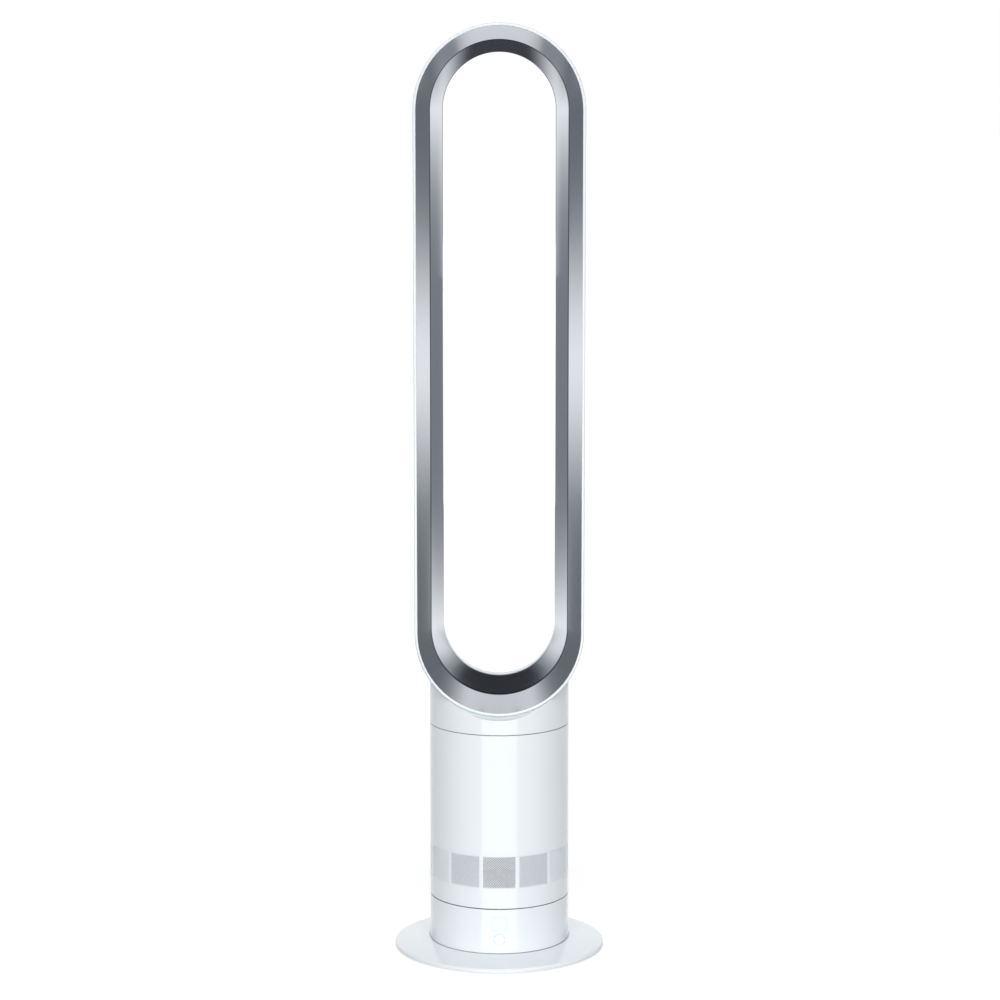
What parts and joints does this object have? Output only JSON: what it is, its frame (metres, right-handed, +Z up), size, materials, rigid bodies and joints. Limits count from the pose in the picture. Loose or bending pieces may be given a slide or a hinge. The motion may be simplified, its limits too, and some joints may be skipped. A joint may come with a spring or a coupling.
{
  "type": "bladeless tower fan",
  "caption": "Tower fan with a tall open loop that blows air from a hidden slot, on a round drum body with an air inlet band and a domed foot.",
  "frame": {"origin": "on the floor under the centre of the round foot", "axes": "+Z up, the fan blows towards -Y, +X to the right seen from the front"},
  "size_m": [0.23, 0.23, 1.007],
  "materials": {
    "white_plastic": "moulded, polished",
    "silver_paint": "satin metallic paint over moulded plastic",
    "window_plastic": "translucent white, polished",
    "grey_plastic": "moulded, unpainted",
    "black_plastic": "moulded",
    "impeller_plastic": "glass filled, moulded",
    "nylon": "moulded nylon",
    "pad_rubber": "moulded",
    "seal_rubber": "moulded, soft",
    "foam": "open-cell foam",
    "ballast_steel": "stamped, zinc plated",
    "screw_steel": "zinc plated",
    "shaft_steel": "ground",
    "bearing_steel": "polished",
    "motor_can": "drawn, plated",
    "laminated_steel": "stacked sheets",
    "copper_wire": "enamelled winding wire",
    "magnet": "sintered",
    "circuit_board": "green solder mask"
  },
  "bodies": {
    "base": {"foot_disc": "white_plastic", "ballast_plate": "ballast_steel", "foot_cover": "grey_plastic", "foot_pads": "pad_rubber", "foot_screws": "screw_steel", "lower_housing": "white_plastic", "display_window": "window_plastic", "display_module": "black_plastic", "remote_receiver": "black_plastic", "control_board": "circuit_board", "button_switch": "black_plastic", "power_board": "circuit_board", "cord_gland": "pad_rubber", "base_deck": "grey_plastic", "deck_screws": "screw_steel", "thrust_ring": "nylon", "swivel_motor": "motor_can", "swivel_motor_screws": "screw_steel"},
    "button": {"power_button": "white_plastic"},
    "pinion": {"drive_pinion": "nylon", "pinion_shaft": "shaft_steel"},
    "upper": {"turntable": "grey_plastic", "sector_gear": "nylon", "gear_screws": "screw_steel", "retaining_ring": "shaft_steel", "main_housing": "white_plastic", "housing_screws": "screw_steel", "inlet_grille": "white_plastic", "duct_seal": "seal_rubber", "air_duct": "grey_plastic", "silencer_foam": "foam", "diffuser_ring": "grey_plastic", "motor_bucket": "grey_plastic", "bucket_cap": "grey_plastic", "lower_bearing": "bearing_steel", "upper_bearing": "bearing_steel", "stator_core": "laminated_steel", "stator_coils": "copper_wire", "motor_board": "circuit_board", "lock_ring": "grey_plastic", "loop_seal": "seal_rubber"},
    "rotor": {"impeller": "impeller_plastic", "motor_shaft": "shaft_steel", "rotor_magnet": "magnet", "impeller_nut": "screw_steel"},
    "loop": {"neck": "white_plastic", "flow_divider": "grey_plastic", "loop_screws": "screw_steel", "loop_shell": "white_plastic", "loop_rear_cover_top": "white_plastic", "loop_rear_cover_bottom": "white_plastic", "loop_rear_cover_sides": "white_plastic", "front_bezel_top": "silver_paint", "front_bezel_bottom": "silver_paint", "front_bezel_sides": "silver_paint", "inner_diffuser_top": "silver_paint", "inner_diffuser_bottom": "silver_paint", "inner_diffuser_sides": "silver_paint", "slot_spacers": "grey_plastic"}
  },
  "joints": [
    {"name": "swivel", "type": "hinge", "parent": "base", "child": "upper", "pos_m": [0, 0, 0.0575], "axis": [0, 0, 1], "range_deg": [-35, 35]},
    {"name": "pinion_turn", "type": "hinge", "parent": "base", "child": "pinion", "pos_m": [0, 0.04, 0.0568], "axis": [0, 0, 1], "range_deg": [-212, 212]},
    {"name": "fan_spin", "type": "hinge", "parent": "upper", "child": "rotor", "pos_m": [0, 0, 0.17], "axis": [0, 0, 1], "continuous": true},
    {"name": "loop_twist", "type": "hinge", "parent": "upper", "child": "loop", "pos_m": [0, 0, 0.2519], "axis": [0, 0, 1], "range_deg": [0, 22]},
    {"name": "button_press", "type": "slide", "parent": "base", "child": "button", "axis": [0, 1, 0], "range_m": [0, 0.0008], "stiffness_N_per_m": 1500, "springref_m": -0.0003}
  ],
  "couplings": [
    {"joint": "pinion_turn", "follows": "swivel", "ratio": 6}
  ]
}
